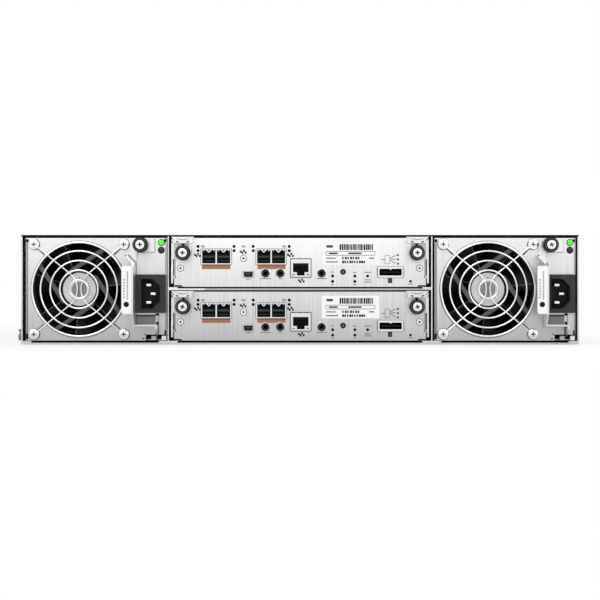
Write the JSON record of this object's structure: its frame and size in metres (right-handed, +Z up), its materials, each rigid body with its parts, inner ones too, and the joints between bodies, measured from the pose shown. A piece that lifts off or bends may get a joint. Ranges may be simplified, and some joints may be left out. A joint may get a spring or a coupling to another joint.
{
  "type": "disk shelf enclosure",
  "caption": "Rack-mounted disk shelf: a steel chassis with latched power supplies and controllers at the rear and disk carriers with swing levers in front.",
  "frame": {"origin": "underside of the chassis floor, at the middle of the chassis", "axes": "+Y from the module side to the drive side, +X to the right seen from behind, +Z up"},
  "size_m": [0.4826, 0.5905, 0.087],
  "materials": {
    "chassis_steel": "galvanised sheet, satin",
    "cover_steel": "galvanised sheet, satin",
    "screw_steel": "zinc plated",
    "board_green": "solder mask",
    "ear_steel": "black powder coat",
    "cap_plastic": "fine-grained moulding",
    "module_steel": "brushed sheet",
    "fan_plastic": "moulded black",
    "rotor_plastic": "moulded black",
    "guard_wire": "bright plated wire",
    "socket_plastic": "moulded black",
    "latch_steel": "bright plated sheet",
    "knob_black": "knurled black ring on a steel screw",
    "port_metal": "plated port shells",
    "carrier_grey": "grey carrier with a cast disk",
    "lever_plastic": "moulded dark grey",
    "blank_plastic": "moulded grey"
  },
  "bodies": {
    "shelf": {"chassis_tray": "chassis_steel", "top_cover": "cover_steel", "cover_screws": "screw_steel", "module_bay_dividers": "chassis_steel", "drive_cage": "chassis_steel", "midplane_board": "board_green", "rack_ears": "ear_steel", "ear_caps": "cap_plastic"},
    "psu_left": {"psu_case_left": "module_steel", "psu_fan_frame_left": "fan_plastic", "psu_fan_guard_left": "guard_wire", "psu_guard_screws_left": "screw_steel", "psu_inlet_left": "socket_plastic", "psu_board_left": "board_green"},
    "fan_left": {"psu_fan_rotor_left": "rotor_plastic"},
    "psu_latch_left": {"psu_latch_left": "latch_steel"},
    "psu_thumbscrew_left": {"psu_thumbscrew_left": "knob_black"},
    "psu_right": {"psu_case_right": "module_steel", "psu_fan_frame_right": "fan_plastic", "psu_fan_guard_right": "guard_wire", "psu_guard_screws_right": "screw_steel", "psu_inlet_right": "socket_plastic", "psu_board_right": "board_green"},
    "fan_right": {"psu_fan_rotor_right": "rotor_plastic"},
    "psu_latch_right": {"psu_latch_right": "latch_steel"},
    "psu_thumbscrew_right": {"psu_thumbscrew_right": "knob_black"},
    "controller_lower": {"controller_case_lower": "module_steel", "controller_ports_lower": "port_metal", "controller_board_lower": "board_green"},
    "button_lower": {"controller_button_lower": "knob_black"},
    "controller_latch_lower_left": {"controller_latch_lower_left": "latch_steel"},
    "controller_thumbscrew_lower_left": {"controller_thumbscrew_lower_left": "knob_black"},
    "controller_latch_lower_right": {"controller_latch_lower_right": "latch_steel"},
    "controller_thumbscrew_lower_right": {"controller_thumbscrew_lower_right": "knob_black"},
    "controller_upper": {"controller_case_upper": "module_steel", "controller_ports_upper": "port_metal", "controller_board_upper": "board_green"},
    "button_upper": {"controller_button_upper": "knob_black"},
    "controller_latch_upper_left": {"controller_latch_upper_left": "latch_steel"},
    "controller_thumbscrew_upper_left": {"controller_thumbscrew_upper_left": "knob_black"},
    "controller_latch_upper_right": {"controller_latch_upper_right": "latch_steel"},
    "controller_thumbscrew_upper_right": {"controller_thumbscrew_upper_right": "knob_black"},
    "carrier_1": {"disk_carrier_1": "carrier_grey"},
    "lever_1": {"carrier_lever_1": "lever_plastic"},
    "carrier_2": {"disk_carrier_2": "carrier_grey"},
    "lever_2": {"carrier_lever_2": "lever_plastic"},
    "carrier_3": {"disk_carrier_3": "carrier_grey"},
    "lever_3": {"carrier_lever_3": "lever_plastic"},
    "carrier_4": {"disk_carrier_4": "carrier_grey"},
    "lever_4": {"carrier_lever_4": "lever_plastic"},
    "carrier_5": {"disk_carrier_5": "carrier_grey"},
    "lever_5": {"carrier_lever_5": "lever_plastic"},
    "carrier_6": {"disk_carrier_6": "carrier_grey"},
    "lever_6": {"carrier_lever_6": "lever_plastic"},
    "blank_7": {"drive_blank_7": "blank_plastic"},
    "blank_8": {"drive_blank_8": "blank_plastic"},
    "blank_9": {"drive_blank_9": "blank_plastic"},
    "blank_10": {"drive_blank_10": "blank_plastic"},
    "blank_11": {"drive_blank_11": "blank_plastic"},
    "blank_12": {"drive_blank_12": "blank_plastic"}
  },
  "joints": [
    {"name": "psu_slide_left", "type": "slide", "parent": "shelf", "child": "psu_left", "axis": [0, -1, 0], "range_m": [0, 0.36]},
    {"name": "fan_spin_left", "type": "hinge", "parent": "psu_left", "child": "fan_left", "pos_m": [-0.1758, -0.267, 0.04375], "axis": [0, 1, 0], "continuous": true},
    {"name": "psu_latch_swing_left", "type": "hinge", "parent": "psu_left", "child": "psu_latch_left", "pos_m": [-0.11355, -0.2756, 0.0095], "axis": [1, 0, 0], "range_deg": [0, 42]},
    {"name": "psu_thumbscrew_turn_left", "type": "hinge", "parent": "psu_latch_left", "child": "psu_thumbscrew_left", "pos_m": [-0.1266, -0.281, 0.079], "axis": [0, 1, 0], "continuous": true},
    {"name": "psu_slide_right", "type": "slide", "parent": "shelf", "child": "psu_right", "axis": [0, -1, 0], "range_m": [0, 0.36]},
    {"name": "fan_spin_right", "type": "hinge", "parent": "psu_right", "child": "fan_right", "pos_m": [0.1497, -0.267, 0.04375], "axis": [0, 1, 0], "continuous": true},
    {"name": "psu_latch_swing_right", "type": "hinge", "parent": "psu_right", "child": "psu_latch_right", "pos_m": [0.21195, -0.2756, 0.0095], "axis": [1, 0, 0], "range_deg": [0, 42]},
    {"name": "psu_thumbscrew_turn_right", "type": "hinge", "parent": "psu_latch_right", "child": "psu_thumbscrew_right", "pos_m": [0.1989, -0.281, 0.079], "axis": [0, 1, 0], "continuous": true},
    {"name": "controller_slide_lower", "type": "slide", "parent": "shelf", "child": "controller_lower", "axis": [0, -1, 0], "range_m": [0, 0.36]},
    {"name": "button_press_lower", "type": "slide", "parent": "controller_lower", "child": "button_lower", "axis": [0, 1, 0], "range_m": [0, 0.0008], "stiffness_N_per_m": 600},
    {"name": "controller_latch_swing_lower_left", "type": "hinge", "parent": "controller_lower", "child": "controller_latch_lower_left", "pos_m": [-0.1017, -0.2774, 0.0106], "axis": [1, 0, 0], "range_deg": [0, 70]},
    {"name": "controller_thumbscrew_turn_lower_left", "type": "hinge", "parent": "controller_latch_lower_left", "child": "controller_thumbscrew_lower_left", "pos_m": [-0.0929, -0.281, 0.0298], "axis": [0, 1, 0], "continuous": true},
    {"name": "controller_latch_swing_lower_right", "type": "hinge", "parent": "controller_lower", "child": "controller_latch_lower_right", "pos_m": [0.1017, -0.2774, 0.0106], "axis": [1, 0, 0], "range_deg": [0, 70]},
    {"name": "controller_thumbscrew_turn_lower_right", "type": "hinge", "parent": "controller_latch_lower_right", "child": "controller_thumbscrew_lower_right", "pos_m": [0.0929, -0.281, 0.0298], "axis": [0, 1, 0], "continuous": true},
    {"name": "controller_slide_upper", "type": "slide", "parent": "shelf", "child": "controller_upper", "axis": [0, -1, 0], "range_m": [0, 0.36]},
    {"name": "button_press_upper", "type": "slide", "parent": "controller_upper", "child": "button_upper", "axis": [0, 1, 0], "range_m": [0, 0.0008], "stiffness_N_per_m": 600},
    {"name": "controller_latch_swing_upper_left", "type": "hinge", "parent": "controller_upper", "child": "controller_latch_upper_left", "pos_m": [-0.1017, -0.2774, 0.0534], "axis": [1, 0, 0], "range_deg": [0, 70]},
    {"name": "controller_thumbscrew_turn_upper_left", "type": "hinge", "parent": "controller_latch_upper_left", "child": "controller_thumbscrew_upper_left", "pos_m": [-0.0929, -0.281, 0.0726], "axis": [0, 1, 0], "continuous": true},
    {"name": "controller_latch_swing_upper_right", "type": "hinge", "parent": "controller_upper", "child": "controller_latch_upper_right", "pos_m": [0.1017, -0.2774, 0.0534], "axis": [1, 0, 0], "range_deg": [0, 70]},
    {"name": "controller_thumbscrew_turn_upper_right", "type": "hinge", "parent": "controller_latch_upper_right", "child": "controller_thumbscrew_upper_right", "pos_m": [0.0929, -0.281, 0.0726], "axis": [0, 1, 0], "continuous": true},
    {"name": "carrier_slide_1", "type": "slide", "parent": "shelf", "child": "carrier_1", "axis": [0, 1, 0], "range_m": [0, 0.18]},
    {"name": "lever_swing_1", "type": "hinge", "parent": "carrier_1", "child": "lever_1", "pos_m": [-0.2154, 0.2763, 0.07202], "axis": [0, 0, 1], "range_deg": [0, 60]},
    {"name": "carrier_slide_2", "type": "slide", "parent": "shelf", "child": "carrier_2", "axis": [0, 1, 0], "range_m": [0, 0.18]},
    {"name": "lever_swing_2", "type": "hinge", "parent": "carrier_2", "child": "lever_2", "pos_m": [-0.2154, 0.2763, 0.04348], "axis": [0, 0, 1], "range_deg": [0, 60]},
    {"name": "carrier_slide_3", "type": "slide", "parent": "shelf", "child": "carrier_3", "axis": [0, 1, 0], "range_m": [0, 0.18]},
    {"name": "lever_swing_3", "type": "hinge", "parent": "carrier_3", "child": "lever_3", "pos_m": [-0.2154, 0.2763, 0.01495], "axis": [0, 0, 1], "range_deg": [0, 60]},
    {"name": "carrier_slide_4", "type": "slide", "parent": "shelf", "child": "carrier_4", "axis": [0, 1, 0], "range_m": [0, 0.18]},
    {"name": "lever_swing_4", "type": "hinge", "parent": "carrier_4", "child": "lever_4", "pos_m": [-0.10465, 0.2763, 0.07202], "axis": [0, 0, 1], "range_deg": [0, 60]},
    {"name": "carrier_slide_5", "type": "slide", "parent": "shelf", "child": "carrier_5", "axis": [0, 1, 0], "range_m": [0, 0.18]},
    {"name": "lever_swing_5", "type": "hinge", "parent": "carrier_5", "child": "lever_5", "pos_m": [-0.10465, 0.2763, 0.04348], "axis": [0, 0, 1], "range_deg": [0, 60]},
    {"name": "carrier_slide_6", "type": "slide", "parent": "shelf", "child": "carrier_6", "axis": [0, 1, 0], "range_m": [0, 0.18]},
    {"name": "lever_swing_6", "type": "hinge", "parent": "carrier_6", "child": "lever_6", "pos_m": [-0.10465, 0.2763, 0.01495], "axis": [0, 0, 1], "range_deg": [0, 60]},
    {"name": "blank_slide_7", "type": "slide", "parent": "shelf", "child": "blank_7", "axis": [0, 1, 0], "range_m": [0, 0.05]},
    {"name": "blank_slide_8", "type": "slide", "parent": "shelf", "child": "blank_8", "axis": [0, 1, 0], "range_m": [0, 0.05]},
    {"name": "blank_slide_9", "type": "slide", "parent": "shelf", "child": "blank_9", "axis": [0, 1, 0], "range_m": [0, 0.05]},
    {"name": "blank_slide_10", "type": "slide", "parent": "shelf", "child": "blank_10", "axis": [0, 1, 0], "range_m": [0, 0.05]},
    {"name": "blank_slide_11", "type": "slide", "parent": "shelf", "child": "blank_11", "axis": [0, 1, 0], "range_m": [0, 0.05]},
    {"name": "blank_slide_12", "type": "slide", "parent": "shelf", "child": "blank_12", "axis": [0, 1, 0], "range_m": [0, 0.05]}
  ]
}
